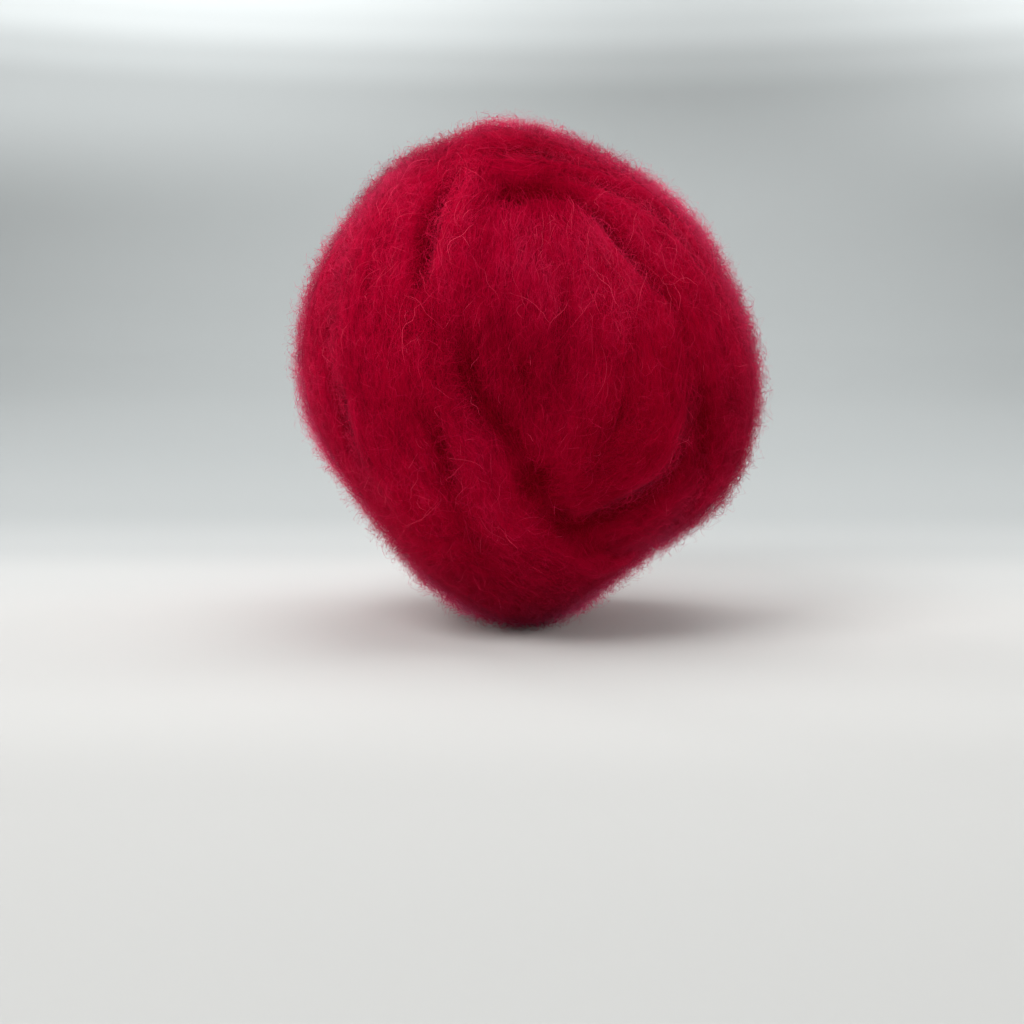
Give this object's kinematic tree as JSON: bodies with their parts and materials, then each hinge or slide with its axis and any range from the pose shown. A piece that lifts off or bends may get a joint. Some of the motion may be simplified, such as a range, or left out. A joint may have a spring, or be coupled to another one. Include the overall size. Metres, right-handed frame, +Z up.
{
  "type": "ball of wool roving",
  "caption": "Hand-wound ball of loose wool roving, with broad rounded wraps that cross at the crown and a small flat spot to rest on.",
  "frame": {"origin": "middle of the flat spot's level, under the middle of the ball's box", "axes": "+Z up through the crown, -Y towards the side where the wraps fan out from the winding eye"},
  "size_m": [0.0882, 0.0876, 0.0946],
  "materials": {
    "wool": "matt crimson wool with a soft halo of loose fibres"
  },
  "bodies": {
    "root": {"wound_ball": "wool"}
  },
  "joints": []
}
